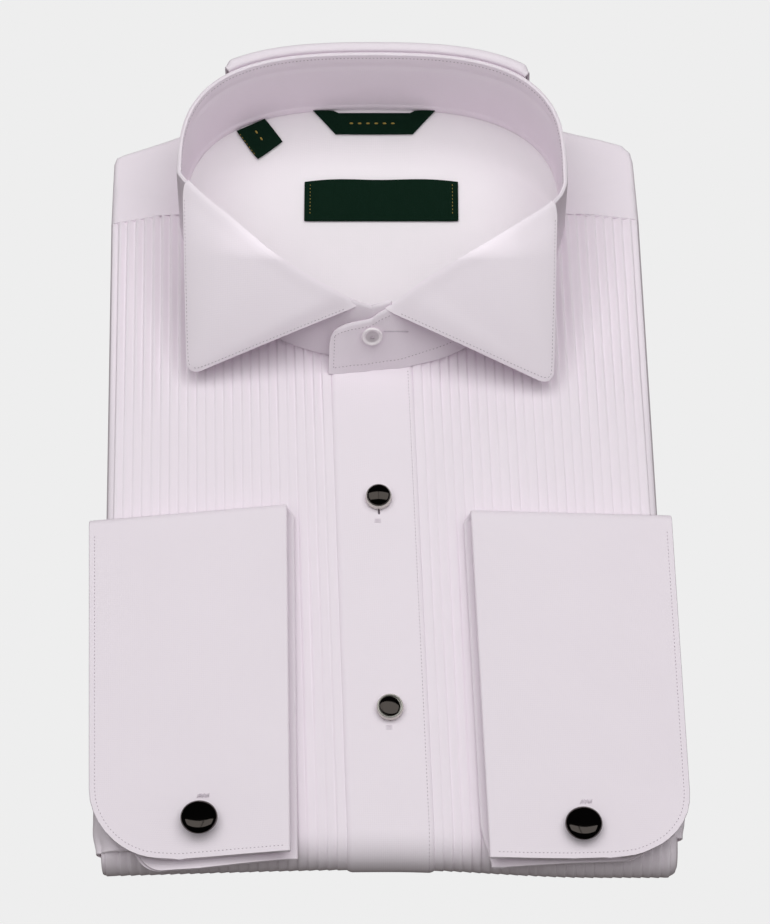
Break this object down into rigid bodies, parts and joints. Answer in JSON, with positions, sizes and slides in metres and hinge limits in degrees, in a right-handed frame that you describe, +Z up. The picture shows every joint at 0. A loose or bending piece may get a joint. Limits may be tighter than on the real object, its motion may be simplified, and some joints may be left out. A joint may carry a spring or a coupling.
{
  "type": "long sleeve dress shirt",
  "caption": "Formal shirt folded flat, with a standing wing collar, pleated front, placket with studs, and double cuffs laid on the front.",
  "frame": {"origin": "under the middle of the folded shirt, on the surface that it lies on", "axes": "+X to the viewer's right across the front, +Y along the front from the bottom fold to the collar, +Z up out of the front"},
  "size_m": [0.2386, 0.3544, 0.0671],
  "materials": {
    "white_cotton": "matte woven cotton",
    "white_cotton_folded": "matte woven cotton, folded layers",
    "label_green": "woven ribbon",
    "button_white": "pearly",
    "silver": "polished silver plate",
    "black_enamel": "glossy black enamel"
  },
  "bodies": {
    "root": {"front_left": "white_cotton", "front_right": "white_cotton", "placket": "white_cotton", "back": "white_cotton", "yoke": "white_cotton", "sleeve_left": "white_cotton", "sleeve_right": "white_cotton", "cuff_left": "white_cotton", "cuff_right": "white_cotton", "collar_stand": "white_cotton", "wing_left": "white_cotton", "wing_right": "white_cotton", "back_flap": "white_cotton", "hidden_layers": "white_cotton_folded", "sleeve_layers": "white_cotton_folded", "label_large": "label_green", "label_neck": "label_green", "label_size": "label_green", "collar_button": "button_white", "stud_upper_rim": "silver", "stud_upper_face": "black_enamel", "stud_lower_rim": "silver", "stud_lower_face": "black_enamel", "cufflink_left": "black_enamel", "cufflink_right": "black_enamel"}
  },
  "joints": []
}
